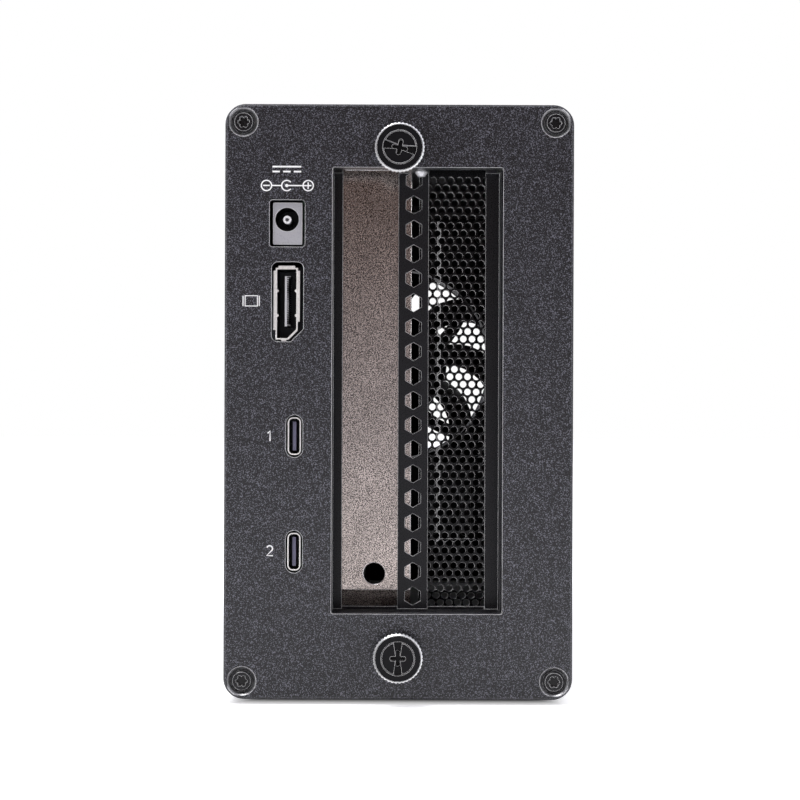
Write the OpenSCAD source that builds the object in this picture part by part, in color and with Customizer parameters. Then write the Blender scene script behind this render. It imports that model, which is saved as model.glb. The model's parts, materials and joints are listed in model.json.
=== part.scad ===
// Two-slot expansion chassis for PCIe cards: an extruded sleeve with a rear panel,
// and an inner tray that slides out of the front with the slots, boards, sockets and fan.
// Millimetres, +Z up. The rear panel faces -Y. Origin: centre of the footprint, on the ground.

/* [Case] */
// Width of the case
body_w = 85; // [84:0.5:90]
// Height of the case, without its feet
body_h = 145; // [145:0.5:152]
// Depth of the case, from the rear face to the front face
body_d = 228; // [224:1:300]
// Radius of the four long edges
corner_r = 5; // [4:0.5:6]
// Wall thickness of the sleeve
wall = 2; // [1.6:0.1:2.2]
// Thickness of the rear panel
panel_t = 3; // [2.8:0.1:3.2]
// Chamfer round the rear and front faces
edge_chamfer = 0.5; // [0.3:0.1:0.8]
// Height of the rubber feet
foot_h = 1.2; // [0.8:0.1:3]

/* [Slots] */
// Pitch between the two card slots
slot_pitch = 20.32; // [20.32]
// Width of a slot cover
cover_w = 18.42; // [18.42]
// Sheet thickness of the slot covers
cover_t = 0.86; // [0.8:0.02:0.9]
// Depth of the slot frame behind the rear face
recess = 11.4; // [11:0.1:12]
// Side of one hexagonal hole in the rib, across its flats
rib_hex_af = 3.93; // [3:0.05:4.2]
// Number of hexagonal holes in the rib
rib_hex_count = 18; // [10:1:18]
// Diameter of the round vent holes
vent_d = 1.63; // [1.2:0.05:1.7]
// Spacing of the vent holes in a row
vent_pitch = 2.19; // [2.1:0.01:2.4]

/* [Fan] */
// Side of the square fan
fan_size = 70; // [70]
// Thickness of the fan
fan_t = 15; // [15]
// Number of blades
blade_count = 9; // [5:1:11]

/* [Hidden] */
$fn = 48;

// Places are given as x to the right, y behind the rear face, z above the case's underside
head_out = 6;
rear_y = -(body_d - head_out) / 2;
sheet = 1;
gap = 0.3;
tray_t = 1.2;

// Corner screws
corner_x = body_w / 2 - 4.45;
corner_z = 4.4;
corner_boss_r = 3.2;
corner_screw_d = 3;
corner_screw_len = 14;
corner_head_d = 5.5;
corner_dish_d = 7.1;

// Thumbscrews
thumb_zs = [body_h - 11.2, 10.8];
thumb_head_d = 12;
thumb_head_t = 2.5;
thumb_collar_d = 8.5;
thumb_lift = 0.3;
thumb_shank_d = 4;
thumb_len = 9;
knurl_count = 40;
clip_y = panel_t - 1;
clip_t = 0.6;

// Window and slots
window_x0 = -16.3;
window_x1 = 25.3;
window_z0 = 20.9;
window_z1 = 129.6;
slot_x = [-6.1, -6.1 + slot_pitch];
slot_open = [[-14.1, -0.2], [7.3, 21.5]];
slot_open_z = [21.5, window_z1 + sheet + 0.01];
cover_y = recess + sheet;
cover_z0 = 21.3;
joggle_z = 25.6;
joggle = 2.6;
tongue_w = 10.2;
tongue_z0 = 10.5;
tab_x = [-7.5, 12.6];
tab_screw_x = 11.5;
tab_screw_y = 8.6;
shelf_z = window_z1;
shelf_ear = 4.5;
flange_y = panel_t + gap;

// Raised panel and vent field of the vented cover
raise_x = [-4.7, 5.7];
raise_z = [37.6, 118.1];
raise_h = 0.4;
raise_slope = 0.8;
vent_row = 1.888;
vent_z0 = 22.2;
vent_rows = 57;
vent_shift = 0.73;

// Tray
tray_z = 3;
tray_x = 34.1;
wall_y = body_d - 5.4;
front_y = wall_y + tray_t;
plate_x = -18.9;
lower_hook_x = 32.9;

// Fan
fan_x = -1.2;
fan_z = 85.7;
fan_y = wall_y - fan_t;
fan_hole = 30;
throat_r = 33.6;
hub_r = 18;
blade_tip_r = 33;
blade_y0 = fan_y + 1.6;
blade_len = 9;
blade_t = 1.1;
blade_lead = -8.8;
blade_trail = 8;
blade_curve = 16;
sweep_r = 25;
rotor_phase = 6.4;
strut_phase = 33;
strut_w = 5;
shaft_d = 3;

// Boards and sockets
board_t = 1.6;
board_x = -23.7;
board_y = [3.6, 128];
board_z = [16.5, 132];
slot_board_z = 14.4;
slot_board_x = [-16.8, 31];
slot_board_y = [17, 136];
card_x = slot_x[0] - 6.4;
spacer_yz = [[18, 20.5], [122, 20.5], [18, 128], [122, 128]];
spacer_xy = [[-13.4, 23], [-13.4, 130], [27, 23], [27, 130]];
dc_z = 115.9;
dc_hole = [-27.4, 116.9];
display_z = [87.6, 105.1];
usb_zs = [64.1, 35.95];
usb_x = -25.4;

// Fan lead: its radius, its plane, and its points in Y and Z
lead_r = 1.1;
lead_x = -26.2;
lead_points = [
    [107, 118], [112, 118], [130, 117.6], [148, 117.8], [165, 118], [178, 117.6],
    [188, 116.4], [196, 114.2], [202, 112.6], [fan_y, 112]
];
lead_clip_y = 165;

// Feet
foot_x = 30;
foot_ys = [24, body_d - 24];

// Shared helpers

// Places a module's own coordinates in the part's frame
module in_case() {
    translate([0, rear_y, foot_h]) children();
}

// Places the fan's modules, which are drawn about x = 0
module at_fan() {
    translate([fan_x, rear_y, foot_h]) children();
}

// Extrudes an outline drawn in X and Z from depth y0 to depth y1
module deep(y0, y1) {
    translate([0, y1, 0]) rotate([90, 0, 0]) linear_extrude(y1 - y0) children();
}

// Extrudes an outline drawn in Y and Z from x0 to x1
module across(x0, x1) {
    translate([x0, 0, 0]) rotate([90, 0, 90]) linear_extrude(x1 - x0) children();
}

// Box between two corners
module block(a, b) {
    translate(a) cube([b[0] - a[0], b[1] - a[1], b[2] - a[2]]);
}

// Round rod along Y
module rod(x, z, d, y0, y1) {
    translate([x, y1, z]) rotate([90, 0, 0]) cylinder(d = d, h = y1 - y0);
}

// Cone along Y, from diameter d0 at y0 to diameter d1 at y1
module taper(x, z, d0, d1, y0, y1) {
    translate([x, y1, z]) rotate([90, 0, 0]) cylinder(d1 = d1, d2 = d0, h = y1 - y0);
}

// Flat rectangle with round corners, with its lower left corner at x0, z0
module round_rect(x0, z0, x1, z1, r) {
    translate([x0 + r, z0]) square([x1 - x0 - 2 * r, z1 - z0]);
    translate([x0, z0 + r]) square([x1 - x0, z1 - z0 - 2 * r]);
    for (x = [x0 + r, x1 - r], z = [z0 + r, z1 - r]) translate([x, z]) circle(r);
}

// Case outline, shrunk by an inset
module case_outline(inset = 0) {
    r = corner_r - inset;
    round_rect(-body_w / 2 + inset, inset, body_w / 2 - inset, body_h - inset, r);
}

// Chamfer layer of a face plate: outline at y0 is smaller by the chamfer than at y1
module chamfer_layer(y0, y1) {
    half = body_w / 2;
    c = edge_chamfer;
    grow = y1 > y0;
    low = min(y0, y1);
    high = max(y0, y1);
    at_low = grow ? c : 0;
    at_high = grow ? 0 : c;
    translate([0, 0, corner_r]) linear_extrude(body_h - 2 * corner_r)
        polygon([
            [-half + at_low, low], [half - at_low, low],
            [half - at_high, high], [-half + at_high, high]
        ]);
    across(-half + corner_r, half - corner_r)
        polygon([
            [low, at_low], [low, body_h - at_low],
            [high, body_h - at_high], [high, at_high]
        ]);
    for (x = [-half + corner_r, half - corner_r], z = [corner_r, body_h - corner_r])
        taper(x, z, 2 * (corner_r - at_low), 2 * (corner_r - at_high), low, high);
}

module at_corners() {
    for (x = [-corner_x, corner_x], z = [corner_z, body_h - corner_z])
        translate([x, 0, z]) children();
}

// Six-lobed recess, drawn at the origin in X and Z
module lobes(d) {
    circle(d = d * 0.72);
    for (i = [0:5]) rotate(i * 60) translate([d * 0.33, 0]) circle(d = d * 0.34, $fn = 24);
}

// Machine screw with its head's top at depth y0, pointing along +Y
module screw_in(x, z, y0, head_d, head_t, shank_d, length, drive = 1.6) {
    difference() {
        union() {
            rod(x, z, head_d, y0, y0 + head_t);
            rod(x, z, shank_d, y0 + head_t - 0.01, y0 + head_t + length);
        }
        deep(y0 - 1, y0 + head_t * 0.6) translate([x, z]) circle(d = drive * 1.15, $fn = 6);
    }
}

// Case

// Extruded sleeve with screw channels in its corners and a hooked rail each side of its floor
module case_sleeve() {
    y0 = panel_t;
    y1 = front_y - gap;
    color([0.16, 0.16, 0.18]) in_case() deep(y0, y1) difference() {
        union() {
            difference() {
                case_outline();
                case_outline(wall);
            }
            for (x = [-corner_x, corner_x], z = [corner_z, body_h - corner_z]) {
                translate([x, z]) circle(corner_boss_r);
                intersection() {
                    case_outline();
                    translate([x + sign(x) * 2, z + sign(z - body_h / 2) * 2])
                        square(6.4, center = true);
                }
            }
            for (s = [-1, 1]) {
                rail_hook(s);
                translate([s * 20 - 1.5, wall - 0.5]) square([3, 1.2]);
                translate([s * 20 - 1.5, body_h - wall - 0.7]) square([3, 1.2]);
            }
        }
        for (x = [-corner_x, corner_x], z = [corner_z, body_h - corner_z])
            translate([x, z]) circle(d = corner_screw_d);
    }
}

// Outline of one rail: a post beside the tray's floor and a lip over its edge
module rail_hook(s) {
    post = tray_x + gap;
    top = tray_z + tray_t + 1.4;
    mirror([s < 0 ? 1 : 0, 0]) {
        translate([post, wall - 0.5]) square([1, top - wall + 0.5]);
        translate([lower_hook_x, top - 1]) square([post + 1 - lower_hook_x, 1]);
    }
}

module window_outline() {
    round_rect(window_x0, window_z0, window_x1, window_z1, 0.4);
}

// Socket cut-outs: one with three round corners and a chamfer, the others plain
module socket_outlines() {
    round_rect(-31.6, 110.2, -23, 121.6, 0.8);
    intersection() {
        round_rect(-31.05, 87.1, -23.3, 106.5, 1.6);
        polygon([[-32, 86], [-26.4, 86], [-26.4, 87.1], [-23.3, 90.2], [-22, 90.2], [-22, 108], [-32, 108]]);
    }
    for (z = usb_zs) translate([usb_x, z]) stadium(4.1, 10.3);
}

module rear_panel() {
    color([0.2, 0.2, 0.23]) in_case() difference() {
        union() {
            chamfer_layer(0, edge_chamfer);
            deep(edge_chamfer, panel_t) case_outline();
        }
        deep(-1, panel_t + 1) {
            window_outline();
            socket_outlines();
            for (z = thumb_zs) translate([0, z]) circle(d = thumb_shank_d + 0.1);
        }
        for (z = thumb_zs) rod(0, z, 9, clip_y - 0.3, panel_t + 1);
        at_corners() {
            rod(0, 0, corner_screw_d + 0.2, -1, panel_t + 1);
            taper(0, 0, corner_dish_d, corner_head_d + 0.2, -0.001, 0.8);
            rod(0, 0, corner_head_d + 0.2, 0.7, 1.8);
        }
    }
}

// Four button-head screws that hold the rear panel to the sleeve
module rear_panel_screws() {
    head_y = 0.15;
    seat_y = 1.8;
    color([0.12, 0.12, 0.13]) in_case() at_corners() difference() {
        union() {
            taper(0, 0, corner_head_d - 1.1, corner_head_d, head_y, head_y + 0.5);
            rod(0, 0, corner_head_d, head_y + 0.5, seat_y);
            rod(0, 0, corner_screw_d - 0.1, seat_y - 0.01, seat_y + corner_screw_len);
        }
        deep(head_y - 1, head_y + 1.1) lobes(2.9);
    }
}

// Round rubber foot with a rounded lower edge
module foot(x, y) {
    r = 5;
    edge = 0.4;
    color([0.09, 0.09, 0.1]) translate([x, rear_y + y, 0]) rotate_extrude()
        union() {
            square([r - edge, foot_h]);
            translate([0, edge]) square([r, foot_h - edge]);
            translate([r - edge, edge]) circle(edge, $fn = 24);
        }
}

// Captive thumbscrew: knurled disc on a collar, groove round its centre, slot and cross, shank
module thumbscrew(z, turn) {
    head_y = -head_out;
    disc_y = head_y + thumb_head_t;
    tip_y = panel_t + thumb_len;
    edge = 0.5;
    groove_d = 8.2;
    color([0.72, 0.73, 0.76]) in_case() translate([0, 0, z]) rotate([0, turn, 0]) difference() {
        union() {
            taper(0, 0, thumb_head_d - 2 * edge, thumb_head_d, head_y, head_y + edge);
            rod(0, 0, thumb_head_d, head_y + edge, disc_y - edge);
            taper(0, 0, thumb_head_d, thumb_head_d - 2 * edge, disc_y - edge, disc_y);
            rod(0, 0, thumb_collar_d, disc_y - 0.01, -thumb_lift);
            rod(0, 0, thumb_shank_d, -thumb_lift - 0.01, tip_y - 0.6);
            taper(0, 0, thumb_shank_d, thumb_shank_d - 1.2, tip_y - 0.6, tip_y);
        }
        for (i = [0:knurl_count - 1]) rotate([0, i * 360 / knurl_count, 0])
            rod(thumb_head_d / 2 + 0.12, 0, 0.62, head_y - 1, disc_y + 0.1, $fn = 16);
        deep(head_y - 1, head_y + 0.35) difference() {
            circle(d = groove_d);
            circle(d = groove_d - 0.5);
        }
        deep(head_y - 1, head_y + 1) intersection() {
            circle(d = groove_d);
            polygon([[-4.2, -1.1], [0, -0.5], [4.2, -1.1], [4.2, 1.1], [0, 0.5], [-4.2, 1.1]]);
        }
        deep(head_y - 1, head_y + 1.9) cross_outline(3.9, 1.1);
        rod_groove(clip_y, clip_t);
    }
}

// Cross with rounded tips
module cross_outline(size, w) {
    for (turn = [0, 90]) rotate(turn) {
        square([size - w, w], center = true);
        for (x = [-1, 1]) translate([x * (size - w) / 2, 0]) circle(d = w, $fn = 24);
    }
}

// Ring groove for the retaining clip
module rod_groove(y, t) {
    difference() {
        rod(0, 0, thumb_shank_d + 1, y, y + t);
        rod(0, 0, thumb_shank_d - 1, y - 1, y + t + 1);
    }
}

// Open retaining clip in the groove
module thumb_clip(z) {
    color([0.5, 0.5, 0.52]) in_case() translate([0, 0, z]) deep(clip_y, clip_y + clip_t) difference() {
        circle(d = 7);
        circle(d = thumb_shank_d - 1);
        translate([-1.1, -5]) square([2.2, 5]);
    }
}

// Tray

// Floor and front wall folded from one sheet
module tray_floor() {
    wall_x = 34;
    wall_wide_x = 37;
    lug_x = lower_hook_x - 0.5;
    wall_top = 139;
    color([0.13, 0.13, 0.15]) in_case() difference() {
        union() {
            block([-tray_x, flange_y, tray_z], [tray_x, wall_y - 3, tray_z + tray_t]);
            block([-lug_x, wall_y - 3.01, tray_z], [lug_x, front_y, tray_z + tray_t]);
            deep(wall_y, front_y) {
                translate([-lug_x, tray_z]) square([2 * lug_x, 6]);
                translate([-wall_x, 9]) square([2 * wall_x, wall_top - 9]);
                translate([-wall_wide_x, 14]) square([2 * wall_wide_x, wall_top - 22]);
            }
        }
        translate([fan_x, 0, 0]) {
            rod(0, fan_z, 2 * throat_r, wall_y - 1, front_y + 1);
            for (x = [-fan_hole, fan_hole], z = [fan_z - fan_hole, fan_z + fan_hole])
                rod(x, z, 4.3, wall_y - 1, front_y + 1);
        }
        for (p = panel_screw_xz()) rod(p[0], p[1], 3.2, wall_y - 1, front_y + 1);
        for (x = [-24, -12, 0, 12, 24]) round_slot(x, wall_y - 1, front_y + 1);
        for (y = [160, 172, 184, 196]) translate([0, y, tray_z - 1]) linear_extrude(tray_t + 2)
            union() {
                square([36, 4], center = true);
                for (x = [-18, 18]) translate([x, 0]) circle(2);
            }
    }
}

// Upright cooling slot low in the front wall
module round_slot(x, y0, y1) {
    deep(y0, y1) union() {
        translate([x - 2, 26]) square([4, 14]);
        for (z = [26, 40]) translate([x, z]) circle(2);
    }
}

function panel_screw_xz() = [[-30, 14], [30, 14], [-30, 132], [30, 132]];

// Upright plate that carries the main board, with a foot folded out to the left
module board_plate() {
    y0 = 14;
    y1 = 205;
    foot_z = tray_z + tray_t;
    color([0.13, 0.13, 0.15]) in_case() difference() {
        union() {
            block([plate_x, y0, foot_z], [plate_x + tray_t, y1, 134]);
            block([plate_x - 10, y0, foot_z], [plate_x + tray_t, y1, foot_z + tray_t]);
        }
        for (p = spacer_yz) translate([plate_x - 1, p[0], p[1]]) rotate([0, 90, 0]) cylinder(d = 3.2, h = 4);
        across(plate_x - 1, plate_x + 3) {
            translate([60, 22]) square([44, 7]);
            translate([140, 30]) square([40, 82]);
            for (i = [0:4]) translate([34 + i * 18, 108]) circle(5);
        }
        for (y = [30, 110, 190]) translate([plate_x - 5, y, foot_z - 1]) cylinder(d = 3, h = 4);
    }
}

// Rivets through the folded foot of the board plate and the slot frame into the floor
module tray_rivets() {
    color([0.75, 0.75, 0.77]) in_case() {
        for (y = [30, 110, 190]) translate([plate_x - 5, y, tray_z + tray_t]) {
            cylinder(d = 3, h = tray_t);
            translate([0, 0, tray_t]) cylinder(d1 = 5, d2 = 3.4, h = 0.9);
        }
        for (x = [-10, 20]) translate([x, 10, tray_z + tray_t]) {
            cylinder(d = 3, h = sheet);
            translate([0, 0, sheet]) cylinder(d1 = 5, d2 = 3.4, h = 0.9);
        }
    }
}

// Slot frame: one folded sheet with two openings, a rib of hexagonal holes, a shelf and flanges
module slot_frame() {
    x0 = window_x0 - 0.1;
    x1 = window_x1 - 0.4;
    face_y1 = recess + sheet;
    foot_z = tray_z + tray_t;
    color([0.13, 0.13, 0.15]) in_case() difference() {
        union() {
            block([x0 - sheet, recess, window_z0 - sheet], [x1 + sheet, face_y1, shelf_z + sheet]);
            block([x0 - sheet, flange_y, shelf_z], [x1 + shelf_ear, face_y1, shelf_z + sheet]);
            block([x0 - sheet, flange_y, window_z0 - sheet], [x1 + sheet, face_y1, window_z0]);
            for (x = [x0 - sheet, x1]) block([x, flange_y, window_z0], [x + sheet, face_y1, shelf_z]);
            block([x0 - sheet, flange_y, shelf_z], [x1 + sheet, flange_y + sheet, shelf_z + 11]);
            block([x0 - sheet, flange_y, foot_z], [x1 + sheet, flange_y + sheet, window_z0]);
            block([x0 - sheet, flange_y, foot_z], [x1 + sheet, 13.5, foot_z + sheet]);
        }
        for (s = slot_open)
            block([s[0], recess - 0.6, slot_open_z[0]], [s[1], face_y1 + 1, shelf_z + sheet + 0.5]);
        for (s = slot_open)
            block([s[0], recess - 0.6, slot_open_z[0] - 1.6], [s[1], recess + 0.4, slot_open_z[0] + 1]);
        for (s = slot_open)
            block([s[0], flange_y + sheet + 0.7, shelf_z - 0.5], [s[1], recess, shelf_z + sheet + 0.5]);
        block([x1 - 0.5, tab_screw_y - 2.2, shelf_z - 1.2], [x1 + sheet + 1, tab_screw_y + 2.2, shelf_z]);
        rib_holes();
        for (z = thumb_zs) rod(0, z, 5.2, flange_y - 1, flange_y + sheet + 1);
        for (x = slot_x) translate([x + tab_screw_x, tab_screw_y, shelf_z - 1]) cylinder(d = 3, h = 3);
        for (x = [-10, 20]) translate([x, 10, foot_z - 1]) cylinder(d = 3, h = 3);
    }
}

// Column of point-up hexagonal holes, cut through the rib
module rib_holes() {
    top_z = 127.8;
    pitch = 6.1;
    deep(recess - 1, recess + sheet + 1)
        for (i = [0:rib_hex_count - 1]) translate([3.6, top_z - i * pitch]) rotate(30)
            circle(d = rib_hex_af / cos(30), $fn = 6);
}

// Threaded bushes pressed into the slot frame for the thumbscrews
module clinch_bushes() {
    color([0.7, 0.7, 0.72]) in_case() for (z = thumb_zs) difference() {
        union() {
            rod(0, z, 5.2, flange_y, flange_y + sheet);
            rod(0, z, 6, flange_y + sheet, flange_y + sheet + 0.4);
        }
        rod(0, z, thumb_shank_d + 0.1, flange_y - 1, flange_y + sheet + 3);
    }
}

// Side profile of a slot cover in Y and Z: tab, straight face, joggle and tongue
module cover_profile() {
    y0 = cover_y;
    y1 = cover_y + cover_t;
    tab_z = shelf_z + sheet;
    polygon([
        [flange_y + sheet + 0.5, tab_z], [y0, tab_z], [y0, joggle_z],
        [y0 + joggle, cover_z0], [y0 + joggle, tongue_z0], [y1 + joggle, tongue_z0],
        [y1 + joggle, cover_z0 + 0.3], [y1, joggle_z + 0.3], [y1, tab_z + cover_t],
        [flange_y + sheet + 0.5, tab_z + cover_t]
    ]);
}

// Face-on outline of a slot cover about its centre: the face, its tab and the narrow tongue
module cover_outline() {
    half = cover_w / 2;
    tab_z = shelf_z + sheet;
    translate([-half, cover_z0]) square([cover_w, tab_z - cover_z0]);
    translate([-tongue_w / 2, tongue_z0 - 1]) square([tongue_w, cover_z0 - tongue_z0 + 2]);
    translate([tab_x[0], tab_z]) square([tab_x[1] - tab_x[0], 2]);
}

// Notch at the tab's right end and the clearance arc at its left end
module tab_notches(x) {
    translate([x + tab_screw_x, tab_screw_y, shelf_z]) linear_extrude(4) union() {
        circle(d = 3.6);
        translate([0, -1.8]) square([4, 3.6]);
    }
    translate([x + tab_screw_x - slot_pitch, tab_screw_y, shelf_z]) cylinder(d = 3.6, h = 4);
}

module cover_sheet(x) {
    intersection() {
        across(x - 10, x + 14) cover_profile();
        deep(0, 20) translate([x, 0]) cover_outline();
    }
}

// Plain cover with one round hole and two small dimples above the tongue
module slot_cover_blank() {
    x = slot_x[0];
    color([0.62, 0.6, 0.58]) in_case() difference() {
        cover_sheet(x);
        rod(x + 0.1, 29.6, 5.4, cover_y - 1, cover_y + 3);
        tab_notches(x);
    }
}

// Tapered prism over a rectangle: full size at y1, smaller by the slope at y0
module raised_pad(x0, x1, z0, z1, y0, y1, slope) {
    intersection() {
        translate([0, 0, z0]) linear_extrude(z1 - z0)
            polygon([[x0, y1], [x0 + slope, y0], [x1 - slope, y0], [x1, y1]]);
        across(x0 - 1, x1 + 1)
            polygon([[y1, z0], [y0, z0 + slope], [y0, z1 - slope], [y1, z1]]);
    }
}

// Rows of vent holes, every second row shifted by half a pitch
module vent_field() {
    half = cover_w / 2;
    for (j = [0:vent_rows - 1], i = [-4:4]) {
        x = (i - (j % 2) / 2) * vent_pitch + vent_shift;
        if (abs(x) < half - 1.2) translate([x, vent_z0 + j * vent_row]) circle(d = vent_d, $fn = 24);
    }
}

// Perforated cover with a long raised panel
module slot_cover_vented() {
    x = slot_x[1];
    flat_y = cover_y;
    color([0.1, 0.1, 0.11]) in_case() difference() {
        intersection() {
            difference() {
                union() {
                    cover_sheet(x);
                    translate([x, 0, 0]) raised_pad(raise_x[0], raise_x[1], raise_z[0], raise_z[1],
                        flat_y - raise_h, flat_y + 0.01, raise_slope);
                }
                translate([x, 0, 0]) raised_pad(raise_x[0] + cover_t, raise_x[1] - cover_t,
                    raise_z[0] + cover_t, raise_z[1] - cover_t,
                    flat_y - raise_h + cover_t, flat_y + cover_t + 0.01, raise_slope);
            }
            deep(0, 20) translate([x, 0]) difference() {
                translate([-12, 0]) square([26, 140]);
                vent_field();
            }
        }
        tab_notches(x);
    }
}

// Two screws down through the cover tabs: the left one's tip shows below the shelf
module slot_cover_screws() {
    seat_z = shelf_z + sheet + cover_t;
    point = 0.9;
    below = [1.2, -0.2];
    color([0.75, 0.75, 0.78]) in_case() for (i = [0, 1])
        translate([slot_x[i] + tab_screw_x, tab_screw_y, seat_z]) {
            shank = seat_z - shelf_z + below[i] - point;
            difference() {
                cylinder(d = 6, h = 2);
                translate([0, 0, 1]) cube([3.6, 0.9, 3], center = true);
                translate([0, 0, 1]) cube([0.9, 3.6, 3], center = true);
            }
            translate([0, 0, -shank]) cylinder(d = 3, h = shank + 0.01);
            translate([0, 0, -shank - point]) cylinder(d1 = 1.8, d2 = 3, h = point);
        }
}

// Front

// Round air port: a ring of four openings between spokes that stand before the fan's struts
module air_port() {
    translate([fan_x, fan_z]) difference() {
        circle(throat_r - 0.4);
        circle(hub_r);
        strut_outlines();
    }
}

// Front panel: a shallow dish with an air port before the fan and bosses for its screws
module front_panel() {
    face_t = 2;
    inner_y = body_d - face_t;
    rim = 4;
    color([0.16, 0.16, 0.18]) in_case() difference() {
        union() {
            difference() {
                union() {
                    deep(front_y, body_d - edge_chamfer) case_outline();
                    chamfer_layer(body_d, body_d - edge_chamfer);
                }
                deep(front_y - 1, inner_y) case_outline(rim);
            }
            for (p = panel_screw_xz()) rod(p[0], p[1], 7, front_y, inner_y + 0.01);
        }
        deep(front_y - 1, body_d + 1) air_port();
        for (p = panel_screw_xz()) rod(p[0], p[1], 3, front_y - 1, front_y + 2.6);
        rod(0, 30, 3, front_y - 1, body_d + 1);
        deep(inner_y - 1, body_d + 1) for (i = [-2:2]) union() {
            translate([i * 12 - 1.5, 14]) square([3, 6]);
            for (z = [14, 20]) translate([i * 12, z]) circle(1.5);
        }
    }
}

// Screws from behind the front wall into the front panel's bosses
module front_panel_screws() {
    color([0.2, 0.2, 0.2]) in_case()
        for (p = panel_screw_xz()) screw_in(p[0], p[1], wall_y - 1.8, 5.5, 1.8, 3, 3.6, 2);
}

// Light guide for the status light
module status_light() {
    color([0.85, 0.9, 0.95]) in_case() union() {
        rod(0, 30, 3, body_d - 2.4, body_d - 0.2);
        rod(0, 30, 4.4, front_y, body_d - 2);
    }
}

// Fan

// Square frame with a round throat, corner ears, and four swept struts to the motor cup
module fan_frame() {
    half = fan_size / 2;
    cup_y = wall_y - 3;
    color([0.1, 0.1, 0.11]) at_fan() difference() {
        union() {
            difference() {
                union() {
                    deep(fan_y, fan_y + 3) round_rect(-half, fan_z - half, half, fan_z + half, 3);
                    deep(wall_y - 3, wall_y) round_rect(-half, fan_z - half, half, fan_z + half, 3);
                    rod(0, fan_z, 2 * throat_r + 2.4, fan_y, wall_y);
                    for (x = [-fan_hole, fan_hole], z = [fan_z - fan_hole, fan_z + fan_hole])
                        rod(x, z, 8, fan_y, wall_y);
                }
                rod(0, fan_z, 2 * throat_r, fan_y - 1, wall_y + 1);
                for (s = [-1, 1]) {
                    block([s * half - 0.4, fan_y - 1, fan_z - 20], [s * half + 0.4, wall_y + 1, fan_z + 20]);
                    block([-20, fan_y - 1, fan_z + s * half - 0.4], [20, wall_y + 1, fan_z + s * half + 0.4]);
                }
            }
            rod(0, fan_z, 2 * hub_r, cup_y, wall_y - 0.5);
            rod(0, fan_z, 7, fan_y + 5, cup_y + 0.01);
            deep(cup_y, wall_y - 0.5) translate([0, fan_z]) strut_outlines();
        }
        for (x = [-fan_hole, fan_hole], z = [fan_z - fan_hole, fan_z + fan_hole])
            rod(x, z, 3.6, fan_y - 1, wall_y + 1);
        rod(0, fan_z, 5, fan_y + 4, wall_y - 1.5);
    }
}

// The struts seen along the shaft: their angle grows with the radius
module strut_outlines() {
    radii = [for (k = [0:4]) hub_r - 1 + k * (throat_r + 1.8 - hub_r) / 4];
    for (turn = [0:90:270]) rotate(turn) polygon(concat(
        [for (r = radii) polar(r, strut_sweep(r) - strut_half(r))],
        [for (k = [4:-1:0]) polar(radii[k], strut_sweep(radii[k]) + strut_half(radii[k]))]
    ));
}

// Fan screws, from the front wall into the fan's ears
module fan_screws() {
    color([0.2, 0.2, 0.2]) at_fan()
        for (x = [-fan_hole, fan_hole], z = [fan_z - fan_hole, fan_z + fan_hole])
            translate([x, front_y, z]) difference() {
                union() {
                    rotate([-90, 0, 0]) cylinder(d1 = 7, d2 = 5.6, h = 1.8);
                    rotate([90, 0, 0]) cylinder(d = 3.6, h = 9);
                }
                translate([0, 1.6, 0]) cube([4, 1.4, 1], center = true);
                translate([0, 1.6, 0]) cube([1, 1.4, 4], center = true);
            }
}

// Plain bearing pressed into the motor cup
module fan_bearing() {
    color([0.72, 0.55, 0.3]) at_fan() difference() {
        rod(0, fan_z, 5, fan_y + 5, wall_y - 1.5);
        rod(0, fan_z, shaft_d + 0.06, fan_y + 4, wall_y);
    }
}

// Four-pole stator on the bearing tube
module fan_stator() {
    y0 = fan_y + 6;
    y1 = wall_y - 3;
    color([0.65, 0.35, 0.2]) at_fan() difference() {
        union() {
            rod(0, fan_z, 12, y0, y1);
            for (a = [0:90:270]) translate([0, 0, fan_z]) rotate([0, a, 0]) {
                block([-2.4, y0 + 1, 0], [2.4, y1, 11]);
                intersection() {
                    block([-6, y0 + 1.5, 9.5], [6, y1 - 1, 14.2]);
                    rod(0, 0, 2 * hub_r - 7.8, y0, y1);
                }
            }
        }
        rod(0, fan_z, 7, y0 - 1, y1 + 1);
    }
}

// Outlines seen along the shaft: middle and half width of a blade and a strut, as angles at a radius
function blade_sweep(r) = rotor_phase - (r - sweep_r) - 0.05 * (r - sweep_r) ^ 2;
function blade_half(r) = 10.7 - 0.08 * (r - sweep_r);
function strut_sweep(r) = strut_phase + 1.1 * (r - sweep_r);
function strut_half(r) = asin(strut_w / 2 / r);
function polar(r, a) = [r * cos(a), r * sin(a)];

// Centre of the circle of a given radius through two points, to the right of the line between them
function arc_centre(p, q, r) =
    let (d = q - p, half = norm(d) / 2)
    (p + q) / 2 + sqrt(r * r - half * half) * [d[1], -d[0]] / norm(d);

// One blade: a curved sheet, trimmed to its swept outline and to the tip circle
module blade() {
    stations = [for (k = [0:5]) hub_r - 0.7 + k * (blade_tip_r + 1.7 - hub_r) / 5];
    centre = arc_centre([0, blade_lead], [blade_len, blade_trail], blade_curve);
    y0 = blade_y0;
    y1 = blade_y0 + blade_len;
    intersection() {
        across(hub_r - 3, throat_r) intersection() {
            translate([y0 + centre[0], centre[1]]) difference() {
                circle(blade_curve, $fn = 96);
                circle(blade_curve - blade_t, $fn = 96);
            }
            translate([y0, blade_lead - 1]) square([blade_len, blade_trail - blade_lead + 2]);
        }
        deep(y0 - 1, y1 + 1) polygon(concat(
            [for (r = stations) polar(r, blade_sweep(r) - blade_half(r))],
            [for (k = [5:-1:0]) polar(stations[k], blade_sweep(stations[k]) + blade_half(stations[k]))]
        ));
        rod(0, 0, 2 * blade_tip_r, y0 - 1, y1 + 1);
    }
}

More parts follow.
